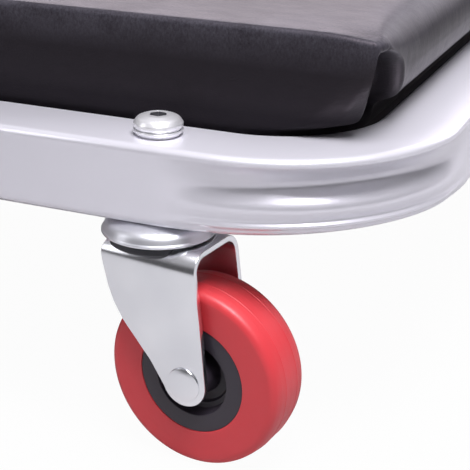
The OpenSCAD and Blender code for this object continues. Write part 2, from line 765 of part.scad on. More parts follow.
// Lock pin with its knob, drawn out and parked clear of the middle's ear
module lock_pin() {
    tip = knee_outer + ear_gap;
    barrel_end = knee_outer + ear_t + barrel_l;
    knob_at = barrel_end + lock_travel + face_gap;
    color("black") translate([knee_x + lock_at[0], 0, knee_z + lock_at[1]]) rotate([-90, 0, 0]) {
        translate([0, 0, tip]) cylinder(h = knob_at - tip + knob_l / 2, d = lock_d, $fn = fine);
        translate([0, 0, knob_at]) rotate_extrude($fn = fine) polygon(concat(
            [[0, 0]],
            arc([knob_d / 2 - knob_r, knob_r], knob_r, -90, 0, corner_steps),
            arc([knob_d / 2 - knob_r, knob_l - knob_r], knob_r, 0, 90, corner_steps),
            [[0, knob_l]]
        ));
    }
}

module left_lock_pin() { lock_pin(); }
module right_lock_pin() { mirror([0, 1, 0]) lock_pin(); }

// Casters

module caster_bolts(casters) {
    color("silver") for (c = casters) at_caster(c) translate([0, 0, tube_top + washer_t])
        button_bolt(bolt_d, tube_top + washer_t - nut_end + bolt_proud);
}

module base_caster_bolts() { caster_bolts(BASE_CASTERS); }
module seat_caster_bolts() { caster_bolts(SEAT_CASTERS); }

module caster_washers(casters) {
    color("silver") for (c = casters) at_caster(c) translate([0, 0, tube_top]) difference() {
        cylinder(h = washer_t, d = washer_d, $fn = fine);
        translate([0, 0, -cut]) cylinder(h = washer_t + 2 * cut, d = bolt_d + 2 * bolt_fit, $fn = fine);
    }
}

module base_caster_washers() { caster_washers(BASE_CASTERS); }
module seat_caster_washers() { caster_washers(SEAT_CASTERS); }

// Flanged lock nuts that hold each caster's kingpin sleeve up against the tube
module caster_nuts(casters) {
    color("silver") for (c = casters) at_caster(c) translate([0, 0, nut_end]) {
        hex_nut(caster_nut_h, bolt_d);
        translate([0, 0, caster_nut_h]) difference() {
            cylinder(h = flange_t, d = flange_d, $fn = fine);
            translate([0, 0, -cut]) cylinder(h = flange_t + 2 * cut, d = bolt_d + 2 * slip_gap, $fn = fine);
        }
    }
}

module base_caster_nuts() { caster_nuts(BASE_CASTERS); }
module seat_caster_nuts() { caster_nuts(SEAT_CASTERS); }

// Pressed cup that roofs the ball race, with the sleeve that the fork turns on
module swivel_cups(casters) {
    skirt_r = cup_r - cup_flare;
    hollow_r = cup_shoulder - cup_t;
    flat_r = skirt_r - cup_shoulder;
    shoulder_z = ride_h - cup_shoulder;
    color("silver") for (c = casters) at_caster(c) rotate_extrude($fn = fine) polygon(concat(
        [[bolt_d / 2 + bolt_fit, sleeve_end], [sleeve_d / 2, sleeve_end], [sleeve_d / 2, ride_h - cup_t]],
        arc([flat_r, shoulder_z], hollow_r, 90, 0, corner_steps),
        [[cup_r - cup_t, cup_rim_z + cup_lip], [cup_r - cup_t, cup_rim_z]],
        [[cup_r, cup_rim_z], [cup_r, cup_rim_z + cup_lip]],
        arc([flat_r, shoulder_z], cup_shoulder, 0, 90, 2 * corner_steps),
        [[bolt_d / 2 + bolt_fit, ride_h]]
    ));
}

module base_swivel_cups() { swivel_cups(BASE_CASTERS); }
module seat_swivel_cups() { swivel_cups(SEAT_CASTERS); }

module swivel_balls(casters) {
    color("silver") for (c = casters) at_caster(c) for (k = [0:ball_count - 1])
        rotate([0, 0, 360 * k / ball_count]) translate([ball_ring_r, 0, ball_z])
            sphere(d = ball_d, $fn = fine);
}

module base_swivel_balls() { swivel_balls(BASE_CASTERS); }
module seat_swivel_balls() { swivel_balls(SEAT_CASTERS); }

// Pressed fork: one sheet bent down at both sides, its legs cut to taper to the axle
module fork(c) {
    lift = fork_h - axle_z;
    reach = trail - foot_r + fork_back;
    inner_r = fork_bend - fork_t;
    color("silver") at_caster(c) difference() {
        union() {
            intersection() {
                translate([-fork_back - cut, 0, 0]) rotate([90, 0, 90])
                    linear_extrude(fork_back + trail + foot_r + 2 * cut) polygon(concat(
                        [[-fork_half, 0]],
                        arc([fork_bend - fork_half, fork_h - fork_bend], fork_bend, 180, 90, 2 * corner_steps),
                        arc([fork_half - fork_bend, fork_h - fork_bend], fork_bend, 90, 0, 2 * corner_steps),
                        [[fork_half, 0], [fork_half - fork_t, 0]],
                        arc([fork_half - fork_bend, fork_h - fork_bend], inner_r, 0, 90, 2 * corner_steps),
                        arc([fork_bend - fork_half, fork_h - fork_bend], inner_r, 90, 180, 2 * corner_steps),
                        [[fork_t - fork_half, 0]]
                    ));
                upright(-fork_half - cut, 2 * (fork_half + cut)) polygon(concat(
                    [[-fork_back, fork_h + cut]],
                    [for (s = fork_back_shares) [s[0] * reach - fork_back, fork_h - s[1] * lift]],
                    arc([trail, axle_z], foot_r, foot_turn[0], foot_turn[1], 4 * corner_steps),
                    [[fork_front, fork_h], [fork_front, fork_h + cut]]
                ));
            }
            translate([0, 0, fork_h - fork_t]) cylinder(h = fork_t, r = dish_r, $fn = fine);
        }
        translate([0, 0, fork_h - fork_t - cut])
            cylinder(h = fork_t + 2 * cut, d = sleeve_d + 2 * run_fit, $fn = fine);
        translate([trail, -fork_half - cut, axle_z]) rotate([-90, 0, 0])
            cylinder(h = 2 * (fork_half + cut), d = axle_d + 2 * run_fit, $fn = fine);
    }
}

// Turns a revolved wheel part on its side, about the axle of its caster
module on_axle(c) {
    at_caster(c) translate([trail, 0, axle_z]) rotate([90, 0, 0]) children();
}

// Riveted axle with a flat head outside each leg
module axle(c) {
    head_in = fork_half + slip_gap;
    head_out = head_in + axle_head_h;
    head_r = axle_head_d / 2;
    half = [
        [axle_d / 2, head_in], [head_r, head_in], [head_r, head_out - axle_head_r],
        [head_r - axle_head_r, head_out], [0, head_out]
    ];
    color("silver") on_axle(c) rotate_extrude($fn = fine) polygon(concat(
        half,
        [for (k = [len(half) - 1:-1:0]) [half[k][0], -half[k][1]]]
    ));
}

// Cast tyre with rounded shoulders, bonded round the hub
module tyre(c) {
    side = wheel_w / 2;
    tread_r = wheel_d / 2 - tread_crown;
    color("firebrick") on_axle(c) rotate_extrude($fn = 2 * fine) polygon(concat(
        [[hub_d / 2 + slip_gap, -side]],
        arc([tread_r - shoulder_r, shoulder_r - side], shoulder_r, -90, 0, 2 * corner_steps),
        [[wheel_d / 2, 0]],
        arc([tread_r - shoulder_r, side - shoulder_r], shoulder_r, 0, 90, 2 * corner_steps),
        [[hub_d / 2 + slip_gap, side]]
    ));
}

// Moulded hub: a long boss on the axle, a thin web, and a rim under the tyre
module hub(c) {
    bore_r = axle_d / 2 + run_fit;
    boss_half = fork_half - fork_t - face_gap;
    rim_half = wheel_w / 2 - hub_sink;
    rim_in = hub_d / 2 - hub_rim;
    half = [
        [bore_r, boss_half], [boss_r, boss_half], [boss_r, web_t / 2], [rim_in, web_t / 2],
        [rim_in, rim_half], [hub_d / 2, rim_half]
    ];
    color("black") on_axle(c) rotate_extrude($fn = 2 * fine) polygon(concat(
        half,
        [for (k = [len(half) - 1:-1:0]) [half[k][0], -half[k][1]]]
    ));
}

base_frame();
base_straps();
base_board();
base_pad();
base_pad_screws();
base_tube_plugs();
base_hinge_ears();
base_swivel_cups();
base_swivel_balls();
base_caster_bolts();
base_caster_washers();
base_caster_nuts();
knee_pivot_bolts();
knee_pivot_nuts();
right_lock_pin();
left_lock_pin();
middle_rails();
middle_straps();
middle_board();
middle_pad();
middle_pad_screws();
middle_tube_plugs();
middle_hinge_ears();
hip_pivot_rivets();
seat_frame();
seat_straps();
seat_board();
seat_pad();
seat_pad_screws();
seat_tube_plugs();
seat_hinge_ears();
seat_swivel_cups();
seat_swivel_balls();
seat_caster_bolts();
seat_caster_washers();
seat_caster_nuts();
for (c = CASTERS) {
    fork(c);
    axle(c);
    tyre(c);
    hub(c);
}
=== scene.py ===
import json
import math

import bmesh
import bpy
import numpy as np
from mathutils import Matrix, Vector


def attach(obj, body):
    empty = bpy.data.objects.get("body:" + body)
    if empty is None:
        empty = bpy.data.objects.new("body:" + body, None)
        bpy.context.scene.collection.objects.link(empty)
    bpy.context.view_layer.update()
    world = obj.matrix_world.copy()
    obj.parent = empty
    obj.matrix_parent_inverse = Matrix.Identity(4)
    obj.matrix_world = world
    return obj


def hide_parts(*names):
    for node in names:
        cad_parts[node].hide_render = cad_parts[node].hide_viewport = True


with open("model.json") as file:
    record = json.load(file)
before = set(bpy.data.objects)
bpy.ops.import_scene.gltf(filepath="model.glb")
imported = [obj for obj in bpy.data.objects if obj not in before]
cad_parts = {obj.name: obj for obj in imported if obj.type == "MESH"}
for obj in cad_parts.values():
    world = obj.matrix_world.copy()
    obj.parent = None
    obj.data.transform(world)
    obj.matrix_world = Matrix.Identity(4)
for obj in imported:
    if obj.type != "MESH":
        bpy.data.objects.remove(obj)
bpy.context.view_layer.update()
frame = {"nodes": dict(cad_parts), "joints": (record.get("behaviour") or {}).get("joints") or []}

# The picture. A long lens looks down on the right front caster and the bent corner above it, from
# where the photograph was taken. A soft lamp hangs over the bend, a wide one stands behind the
# creeper for the sheen of the pads, and weak ones stand behind on the right and fill the left side.

yaw, pitch, roll = (math.radians(a) for a in (22.39, 21.74, 0.99))
camera = bpy.data.objects.new("camera", bpy.data.cameras.new("camera"))
bpy.context.scene.collection.objects.link(camera)
bpy.context.scene.camera = camera
camera.data.lens = 90.97
camera.data.sensor_width = 36
camera.data.clip_start = 0.02
camera.matrix_world = (
    Matrix.Translation((0.5956, -0.5733, 0.2572))
    @ Matrix.Rotation(yaw, 4, "Z")
    @ Matrix.Rotation(math.pi / 2 - pitch, 4, "X")
    @ Matrix.Rotation(roll, 4, "Z")
)
bpy.context.scene.view_settings.view_transform = "Standard"


def lamp(name, place, aim, size, watts, colour=(1, 0.985, 1.03)):
    light = bpy.data.objects.new(name, bpy.data.lights.new(name, "AREA"))
    light.data.shape = "RECTANGLE"
    light.data.size, light.data.size_y = size
    light.data.energy = watts
    light.data.color = colour
    light.location = place
    light.rotation_euler = (Vector(aim) - Vector(place)).to_track_quat("-Z", "Y").to_euler()
    bpy.context.scene.collection.objects.link(light)


lamp("overhead_lamp", (0.87, -0.6, 2.05), (0.4, -0.15, 0.1), (0.9, 0.9), 62)
lamp("back_lamp", (-0.97, 2.27, 1.0), (0.3, -0.1, 0.1), (2.1, 0.9), 23, (1, 0.9, 0.98))
lamp("right_lamp", (1.1, 2.4, 1.15), (0.4, 0, 0.1), (2.0, 1.4), 19, (1, 0.95, 1.02))
lamp("left_lamp", (-1.7, -1.5, 1.3), (0.2, 0, 0.1), (0.8, 1.4), 6.5)


# Materials. Each finish is one Principled surface. Sums and products of sockets are written as
# ordinary expressions, and every other node comes from Finish.node.

class Wire:
    """The output of a node. Wires add, subtract, multiply and compare as numbers do."""

    def __init__(self, finish, socket):
        self.finish, self.socket = finish, socket

    def joined(self, operation, first, second, clamp=False):
        settings = {"operation": operation, "use_clamp": clamp}
        return self.finish.node("ShaderNodeMath", settings, {0: first, 1: second})

    def __add__(self, other):
        return self.joined("ADD", self, other)

    def __sub__(self, other):
        return self.joined("SUBTRACT", self, other)

    def __rsub__(self, other):
        return self.joined("SUBTRACT", other, self)

    def __mul__(self, other):
        return self.joined("MULTIPLY", self, other)

    def __gt__(self, other):
        return self.joined("GREATER_THAN", self, other)

    def clamped(self, factor):
        """This value times factor, kept between 0 and 1."""
        return self.joined("MULTIPLY", self, factor, clamp=True)


class Finish:
    """One material with its Principled surface."""

    def __init__(self, name, **constants):
        self.material = bpy.data.materials.new(name)
        self.material.use_nodes = True
        self.tree = self.material.node_tree
        self.surface = next(n for n in self.tree.nodes if n.type == "BSDF_PRINCIPLED")
        for socket, value in constants.items():
            self.surface.inputs[socket.replace("_", " ")].default_value = value

    def node(self, kind, settings=None, inputs=None, output=0):
        made = self.tree.nodes.new(kind)
        for name, value in (settings or {}).items():
            setattr(made, name, value)
        for name, value in (inputs or {}).items():
            self.feed(made.inputs[name], value)
        return Wire(self, made.outputs[output])

    def feed(self, socket, value):
        if isinstance(value, Wire):
            self.tree.links.new(value.socket, socket)
        else:
            socket.default_value = value

    def place(self, scale=(1, 1, 1)):
        """The place on the object, stretched by scale."""
        spot = self.node("ShaderNodeTexCoord", output="Object")
        return self.node("ShaderNodeMapping", {}, {"Vector": spot, "Scale": scale})

    def along(self, axis):
        """The place on the object along one axis: 0, 1 or 2."""
        return self.node("ShaderNodeSeparateXYZ", {}, {0: self.place()}, axis)

    def noise(self, scale, detail=3, stretch=(1, 1, 1), roughness=0.5):
        return self.node("ShaderNodeTexNoise", {}, {
            "Vector": self.place(stretch), "Scale": scale, "Detail": detail, "Roughness": roughness})

    def between(self, share, low, high):
        """A colour between low and high."""
        return self.node("ShaderNodeMix", {"data_type": "RGBA"}, {0: share, 6: low, 7: high}, 2)

    def bump(self, height, depth):
        normal = self.node("ShaderNodeBump", {}, {"Height": height, "Distance": depth})
        self.feed(self.surface.inputs["Normal"], normal)

    def paint(self, **sockets):
        for name, wire in sockets.items():
            self.feed(self.surface.inputs[name.replace("_", " ")], wire)

    def cover(self, *pieces):
        for piece in pieces:
            piece.data.materials.clear()
            piece.data.materials.append(self.material)
            piece.data.polygons.foreach_set("material_index", [0] * len(piece.data.polygons))

    def cover_faces(self, piece, faces):
        """Gives some faces of a piece this finish in place of its first one."""
        piece.data.materials.append(self.material)
        for face in faces:
            face.material_index = 1


# The studio: a pale floor, which the camera sees almost white with a trace of the soft shadow in it.
# The sky has a dim band over the horizon, as between two lamps, and the camera sees it white.

bpy.ops.object.select_all(action="DESELECT")
bpy.ops.mesh.primitive_plane_add(size=12, location=(0, 0, -0.0005))
floor = bpy.context.object
floor.name = "studio_floor"
floor_paint = Finish(
    "floor_paper", Base_Color=(0.46, 0.46, 0.46, 1), Roughness=0.9, Specular_IOR_Level=0.1)
rays = floor_paint.tree.nodes.new("ShaderNodeLightPath")
seen = Wire(floor_paint, rays.outputs["Is Camera Ray"]) * 0.97
glow = floor_paint.node("ShaderNodeEmission", {}, {"Color": (1, 1, 1, 1), "Strength": 1.0})
mixed = floor_paint.node("ShaderNodeMixShader", {}, {
    0: seen, 1: Wire(floor_paint, floor_paint.surface.outputs[0]), 2: glow})
floor_paint.feed(floor_paint.tree.nodes["Material Output"].inputs["Surface"], mixed)
floor_paint.cover(floor)

world = bpy.data.worlds.new("studio")
bpy.context.scene.world = world
world.use_nodes = True
sky = world.node_tree
ground = sky.nodes["Background"]
rise = sky.nodes.new("ShaderNodeSeparateXYZ")
ramp = sky.nodes.new("ShaderNodeValToRGB")
# The ramp runs from straight down at 0 to straight up at 1.
for at, level in ((0.4, 0.3), (0.5, 0.08), (0.7, 0.08), (0.8, 0.45)):
    ramp.color_ramp.elements.new(at).color = (level, level * 0.985, level * 1.03, 1)
ramp.color_ramp.elements[-1].color = (0.45, 0.443, 0.464, 1)
shift = sky.nodes.new("ShaderNodeMath")
shift.operation = "MULTIPLY_ADD"
shift.inputs[1].default_value = shift.inputs[2].default_value = 0.5
sky.links.new(sky.nodes.new("ShaderNodeTexCoord").outputs["Generated"], rise.inputs[0])
sky.links.new(rise.outputs["Z"], shift.inputs[0])
sky.links.new(shift.outputs[0], ramp.inputs[0])
plain = sky.nodes.new("ShaderNodeMix")
plain.data_type = "RGBA"
plain.inputs[7].default_value = (1.25, 1.25, 1.25, 1)
sky.links.new(sky.nodes.new("ShaderNodeLightPath").outputs["Is Camera Ray"], plain.inputs[0])
sky.links.new(ramp.outputs[0], plain.inputs[6])
sky.links.new(plain.outputs[2], ground.inputs["Color"])
ground.inputs["Strength"].default_value = 0.8


# The frame tubes. Two lengths of 32 by 31 mm square steel tube are each bent to a U on a press, which
# sinks the outer wall of each bend between its edges and draws its lower edge in. Silver paint.

mm = 0.001
overall, rail_y = 1016 * mm, 194 * mm
tube_w, tube_h, tube_wall, tube_r = 32 * mm, 31 * mm, 1.5 * mm, 3 * mm
ride_h = 97.6 * mm
tube_mid, tube_top = ride_h + tube_h / 2, ride_h + tube_h
bend_r, bend_run = 44 * mm, 20 * mm
bend_steps, run_steps, wall_steps = 32, 8, 48
base_tube_end, seat_tube_end = 160.48 * mm, 201.12 * mm
bend_x = overall / 2 - tube_w - bend_r
bend_corner = rail_y - bend_r - tube_w / 2


def outline(name, points, filled=False, closed=True):
    """A loop or a chain of corners, or a flat face within them."""
    bpy.ops.object.select_all(action="DESELECT")
    bpy.ops.mesh.primitive_circle_add(vertices=len(points), fill_type="NGON" if filled else "NOTHING")
    piece = bpy.context.object
    piece.name = piece.data.name = name
    piece.data.vertices.foreach_set("co", np.array(points, np.float32).ravel())
    if not closed:
        bm = bmesh.new()
        bm.from_mesh(piece.data)
        bm.verts.ensure_lookup_table()
        ends = {bm.verts[0], bm.verts[len(points) - 1]}
        bmesh.ops.delete(bm, geom=[e for e in bm.edges if set(e.verts) == ends], context="EDGES")
        bm.to_mesh(piece.data)
        bm.free()
    return piece


def edit(piece, mode="EDIT"):
    """Makes a piece the only one chosen, and opens it with all of it selected."""
    bpy.ops.object.select_all(action="DESELECT")
    bpy.context.view_layer.objects.active = piece
    piece.select_set(True)
    bpy.ops.object.mode_set(mode=mode)
    if mode == "EDIT":
        bpy.ops.mesh.select_all(action="SELECT")


def done(piece, smooth=None):
    """Leaves edit mode with the skin closed and facing outwards."""
    bpy.ops.mesh.select_all(action="SELECT")
    bpy.ops.mesh.remove_doubles(threshold=1e-6)
    bpy.ops.mesh.delete_loose(use_verts=True, use_edges=True, use_faces=False)
    bpy.ops.mesh.select_all(action="SELECT")
    bpy.ops.mesh.normals_make_consistent(inside=False)
    bpy.ops.object.mode_set(mode="OBJECT")
    if smooth:
        bpy.ops.object.shade_smooth_by_angle(angle=math.radians(smooth))
    return piece


def outward(piece):
    """Turns the whole skin of a piece to face outwards."""
    edit(piece)
    bpy.ops.mesh.normals_make_consistent(inside=False)
    bpy.ops.object.mode_set(mode="OBJECT")


def worked(piece, kind, **settings):
    """Adds one modifier and applies it."""
    edit(piece, "OBJECT")
    modifier = piece.modifiers.new(kind.lower(), kind)
    for name, value in settings.items():
        setattr(modifier, name, value)
    bpy.ops.object.modifier_apply(modifier=modifier.name)
    return piece


def arc(centre, r, start, stop, steps):
    """Points on an arc, from start to stop in degrees."""
    return [(centre[0] + r * math.cos(math.radians(start + (stop - start) * k / steps)),
             centre[1] + r * math.sin(math.radians(start + (stop - start) * k / steps)))
            for k in range(steps + 1)]


# Height share up the outer wall of a bend, and how far it is sunk there.
sunk_wall = np.array([
    (-1, 7.4), (-0.94, 4.8), (-0.9, 4.1), (-0.86, 4.2), (-0.76, 5.6), (-0.7, 5.6), (-0.58, 4.8),
    (-0.45, 4.3), (-0.36, 4.3), (-0.28, 4.6), (-0.2, 5.3), (-0.1, 6.5), (0, 7.7), (0.1, 8.9), (0.2, 9.8),
    (0.3, 10), (0.42, 9.5), (0.54, 8.3), (0.7, 6.6), (0.85, 4.2), (0.95, 1.8), (1, 0.3)]) * (1, mm)


def bent_tube(name, start, flip):
    """A U of tube whose two open ends lie at start along X, turned round to the other end by flip."""
    half_w, half_h = tube_w / 2, tube_h / 2
    wall = np.linspace(half_h - tube_r, tube_r - half_h, wall_steps + 1)[1:-1]
    section = (
        arc((half_w - tube_r, half_h - tube_r), tube_r, 90, 0, 5) + [(half_w, z) for z in wall]
        + arc((half_w - tube_r, tube_r - half_h), tube_r, 0, -90, 5)
        + arc((tube_r - half_w, tube_r - half_h), tube_r, -90, -180, 4)
        + arc((tube_r - half_w, half_h - tube_r), tube_r, 180, 90, 4)
    )
    piece = outline(name, [(start, -rail_y - out, tube_mid + up) for out, up in section])
    edit(piece)

    def draw_out(x, y):
        bpy.ops.mesh.extrude_region_move(TRANSFORM_OT_translate={"value": (x, y, 0)})

    def bend(y):
        step = bend_run / run_steps
        for _ in range(run_steps):
            draw_out(*((step, 0) if y < 0 else (0, step)))
        bpy.ops.mesh.spin(steps=bend_steps, angle=math.pi / 2, center=(bend_x, y, 0), axis=(0, 0, -1))
        for _ in range(run_steps):
            draw_out(*((0, step) if y < 0 else (-step, 0)))

    draw_out(bend_x - bend_run - start, 0)
    bend(-bend_corner)
    draw_out(0, 2 * (bend_corner - bend_run))
    bend(bend_corner)
    draw_out(start + bend_run - bend_x, 0)
    bpy.ops.object.mode_set(mode="OBJECT")

    middle = bend_r + half_w
    full = 2 * bend_run + middle * math.pi / 2
    for v in piece.data.vertices:
        x, y = v.co.x - bend_x, abs(v.co.y) - bend_corner
        if x < -bend_run or y < -bend_run:
            continue
        if x < 0:
            out, along, inward = y - middle, x + bend_run, Vector((0, -1))
        elif y < 0:
            out, along, inward = x - middle, full - bend_run - y, Vector((-1, 0))
        else:
            out = math.hypot(x, y) - middle
            along = bend_run + middle * math.atan2(x, y)
            inward = Vector((-x, -y)).normalized()
        up = (v.co.z - tube_mid) / (half_h - tube_r)
        drop = np.interp(max(-1, min(1, up)), *sunk_wall.T)
        drop *= max(0, math.sin(math.pi * along / full)) ** 1.5
        drop *= min(1, max(0, (out + half_w - tube_r) / (tube_w - 2 * tube_r)))
        side = math.copysign(1, v.co.y)
        v.co.x += inward.x * drop
        v.co.y += side * inward.y * drop
    if flip:
        for v in piece.data.vertices:
            v.co.x *= -1
    outward(piece)
    worked(piece, "SOLIDIFY", thickness=tube_wall, offset=-1, use_rim=True)
    bpy.ops.object.shade_smooth()
    return piece


silver = Finish(
    "silver_paint", Base_Color=(0.81, 0.8, 0.86, 1), Metallic=0.42, Roughness=0.28, Specular_IOR_Level=0.3)

base_tube = bent_tube("base_tube", base_tube_end, False)
seat_tube = bent_tube("seat_tube", seat_tube_end, True)
for piece, body, node in ((base_tube, "base", "base_frame"), (seat_tube, "seat", "seat_frame")):
    silver.cover(piece)
    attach(piece, body)
    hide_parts(node)
silver.cover(*(frame["nodes"][n] for n in (
    "middle_rails", "base_straps", "middle_straps", "seat_straps",
    "base_hinge_ears", "middle_hinge_ears", "seat_hinge_ears")))


# The casters. Each has a dished cup of bright-plated steel under the tube, a pressed fork that turns
# on balls below it, and a cast red tyre on a black hub. A button-headed bolt holds it through the tube.
# One of each is made with its swivel axis at the origin, in millimetres, and copied to its places.

joints = {j["name"]: j for j in frame["joints"]}
casters = {name[:-7]: Vector(j["pos_m"]) for name, j in joints.items() if name.endswith("_swivel")}
toe_out = math.radians(6.5)
axle_x, axle_z, axle_r = 21.3, 37.5, 4
cup_top, washer_low, washer_top = 97.6, 128.6, 131
bolt_r, bolt_hole, bolt_end = 5, 5.15, 77.9
socket_r, socket_reach, socket_low, socket_high = 3.46, 3.7, 131.5, 136.1
kingpin_r, kingpin_hole = 7, 7.1
round_steps, wheel_steps = 96, 128


def rounded(*corners):
    """Points through corners (u, v, radius), with each corner rounded to its radius."""
    points = []
    for k, (u, v, r) in enumerate(corners):
        here = Vector((u, v))
        if r == 0:
            points.append((u, v))
            continue
        to_last = (Vector(corners[k - 1][:2]) - here).normalized()
        to_next = (Vector(corners[(k + 1) % len(corners)][:2]) - here).normalized()
        half = to_last.angle(to_next) / 2
        centre = here + (to_last + to_next).normalized() * (r / math.sin(half))
        first = here + to_last * (r / math.tan(half)) - centre
        last = here + to_next * (r / math.tan(half)) - centre
        turn = first.angle(last)
        for t in np.linspace(0, 1, 6):
            arm = (first * math.sin((1 - t) * turn) + last * math.sin(t * turn)) / math.sin(turn)
            points.append(tuple(centre + arm))
    return points


def both_ends(end, middle=()):
    """Corners of one end, then of the middle, then the first ones again at the other end."""
    return [*end, *middle, *((r, -h, fillet) for r, h, fillet in reversed(end))]


def turned(name, half, steps=round_steps, across=False, closed=True):
    """A shape turned on a lathe from points (radius, height), upright or along the axle."""
    if across:
        points = [((axle_x + r) * mm, -h * mm, axle_z * mm) for r, h in half]
        centre, axis = (axle_x * mm, 0, axle_z * mm), (0, 1, 0)
    else:
        points = [(r * mm, 0, h * mm) for r, h in half]
        centre, axis = (0, 0, 0), (0, 0, 1)
    piece = outline(name, points, closed=closed)
    edit(piece)
    bpy.ops.mesh.spin(steps=steps, angle=math.tau, center=centre, axis=axis)
    return done(piece, 35)


def cut_with(piece, tool):
    """Cuts a tool's shape out of a piece and removes the tool."""
    worked(piece, "BOOLEAN", operation="DIFFERENCE", solver="EXACT", object=tool)
    bpy.data.objects.remove(tool)
    return piece


def prism(name, points, low, high):
    """A flat outline in X and Y drawn up from low to high."""
    piece = outline(name, [(x * mm, y * mm, low * mm) for x, y in points], filled=True)
    edit(piece)
    bpy.ops.mesh.extrude_region_move(TRANSFORM_OT_translate={"value": (0, 0, (high - low) * mm)})
    return done(piece)


def welded(name, pieces):
    """Joins loose shells that are one piece in the real thing."""
    bpy.ops.object.select_all(action="DESELECT")
    for piece in pieces:
        piece.select_set(True)
    bpy.context.view_layer.objects.active = pieces[0]
    bpy.ops.object.join()
    pieces[0].name = pieces[0].data.name = name
    return pieces[0]


def button_bolt(name, top, end):
    """Bolt with a low domed head, a bevelled rim and a hexagon socket; top is under its head."""
    piece = turned(name, rounded(
        (0, top + 5.6, 0), (5, top + 5.4, 4), (8, top + 4.3, 3), (9.33, top + 2.4, 0.7),
        (9.33, top + 1.3, 0.5), (8.5, top + 0.1, 0.3), (8.3, top, 0.05), (bolt_r, top, 0.2),
        (bolt_r, end + 0.8, 0.3), (4.3, end, 0.2), (0, end, 0)), closed=False)
    cut_with(piece, prism("socket", arc((0, 0), socket_r, 0, 300, 5), top + 1, top + 8))
    worked(piece, "BEVEL", width=0.25 * mm, segments=2, limit_method="ANGLE", angle_limit=math.radians(50))
    bpy.ops.object.shade_smooth_by_angle(angle=math.radians(40))
    return piece


zinc = Finish("bright_zinc", Metallic=1.0)
zinc.paint(Roughness=zinc.noise(400, 4) * 0.06 + 0.2,
           Base_Color=zinc.between(zinc.noise(55, 3), (0.72, 0.73, 0.77, 1), (0.97, 0.98, 1, 1)))
zinc.bump(zinc.noise(90, 2), 0.0001)

satin = Finish("satin_zinc", Base_Color=(0.95, 0.95, 0.97, 1), Metallic=0.65)
satin.paint(Roughness=satin.noise(400, 2) * 0.06 + 0.26)
satin.bump(satin.noise(90, 2), 0.00005)

frosted = Finish("frosted_zinc", Base_Color=(0.78, 0.79, 0.83, 1), Metallic=0.9)
frosted.paint(Roughness=frosted.noise(400, 3) * 0.08 + 0.32)
frosted.bump(frosted.noise(90, 2), 0.00008)

# Painted shade: a dark finish laid on the hexagon sockets of the bolts and on the ball race under each cup,
# where shade falls.
painted_shade = Finish("painted_shade_finish", Base_Color=(0.1, 0.1, 0.11, 1), Metallic=0.5)
painted_shade.paint(Roughness=painted_shade.noise(900, 2) * 0.2 + 0.5)

bolt = button_bolt("bolt", washer_top, bolt_end)
washer = turned("washer", rounded(
    (bolt_hole, washer_low, 0.1), (7.9, washer_low, 0.4), (9.3, washer_top - 0.8, 0.5),
    (9.3, washer_top, 0.3), (bolt_hole, washer_top, 0.1)))
cup = turned("cup", rounded(
    (bolt_hole, 86.9, 0.2), (kingpin_r, 86.9, 0.2), (kingpin_r, 95.6, 0.5), (17.5, 94.6, 2),
    (20.2, 91.6, 0.5), (20.2, 91.1, 0.1), (22.1, 91.1, 0.3), (22.1, 91.9, 0.3), (21.6, 92.5, 0.8),
    (20.2, 95.6, 4.5), (15.8, 97.1, 2), (14.5, cup_top, 0.4), (bolt_hole, cup_top, 0.2)))
race = turned("race", rounded(
    (kingpin_hole, 87.2, 0.2), (19.4, 87.2, 0.3), (19.4, 87.8, 0.3), (18.2, 90.2, 0.3), (17.4, 90.2, 0.3),
    (15, 89.0, 1.5), (12.5, 90.2, 0.4), (kingpin_hole, 90.2, 0.2)))

# Fork blank: the cross-wise line runs up one leg, over the top and down the other.
fork_half, fork_top, sheet, bend_out, bend_cuts = 16.9, 90.0, 2.5, 8.0, 10
bend_mid = bend_out - sheet / 2
flat_half = fork_half - bend_out
bend_length = bend_mid * math.pi / 2
leg_outline = [
    (-14, 88.75), (-15.1, 87.3), (-15.7, 85.6), (-15.8, 83.8), (-14.7, 79), (-12.5, 70.6), (-10.2, 64.8),
    (-6.1, 58), (-0.2, 51.2), (6.2, 43.8), *arc((axle_x, axle_z), 9.3, 200, 366, 28), (27.9, 64.3),
    (26.4, 76), (25.4, 84), (25, 88.75)]


def unfolded(z):
    """How far down the blank a height lies, from the middle of the top."""
    if z <= fork_top - bend_out:
        return flat_half + bend_length + fork_top - bend_out - z
    return flat_half + bend_mid * math.acos(1 - (fork_top - sheet / 2 - z) / bend_mid)


near_leg = [(x, unfolded(z)) for x, z in leg_outline]
far_leg = [(x, -w) for x, w in reversed(near_leg)]
fork = outline("fork", [(x * mm, w * mm, 0) for x, w in near_leg + far_leg], filled=True)
edit(fork)
for side in (-1, 1):
    for k in range(bend_cuts + 1):
        cut_y = side * (flat_half + bend_length * k / bend_cuts) * mm
        bpy.ops.mesh.select_all(action="SELECT")
        bpy.ops.mesh.bisect(plane_co=(0, cut_y, 0), plane_no=(0, 1, 0))
bpy.ops.object.mode_set(mode="OBJECT")
for v in fork.data.vertices:
    w = abs(v.co.y) / mm
    turn = min(max(0, w - flat_half), bend_length) / bend_mid
    down = bend_mid * (1 - math.cos(turn)) + max(0, w - flat_half - bend_length)
    v.co.y = math.copysign(min(w, flat_half) + bend_mid * math.sin(turn), v.co.y) * mm
    v.co.z = (fork_top - sheet / 2 - down) * mm
outward(fork)
worked(fork, "SOLIDIFY", thickness=sheet * mm, offset=0, use_even_offset=True)
cut_with(fork, prism("kingpin", arc((0, 0), kingpin_hole, 0, 352.5, 47), 80, 95))
worked(fork, "BEVEL", width=0.4 * mm, segments=2, limit_method="ANGLE", angle_limit=math.radians(55),
       use_clamp_overlap=False)
bpy.ops.object.shade_smooth_by_angle(angle=math.radians(30))
fork_faces = len(fork.data.polygons)
fork = welded("fork", [fork, race])

axle = turned("axle", rounded(*both_ends([
    (0, 18.2, 0), (4.6, 18.1, 3), (6.85, 17.5, 0.4), (6.85, 16.95, 0.1), (axle_r, 16.95, 0.1)])),
    across=True, closed=False)

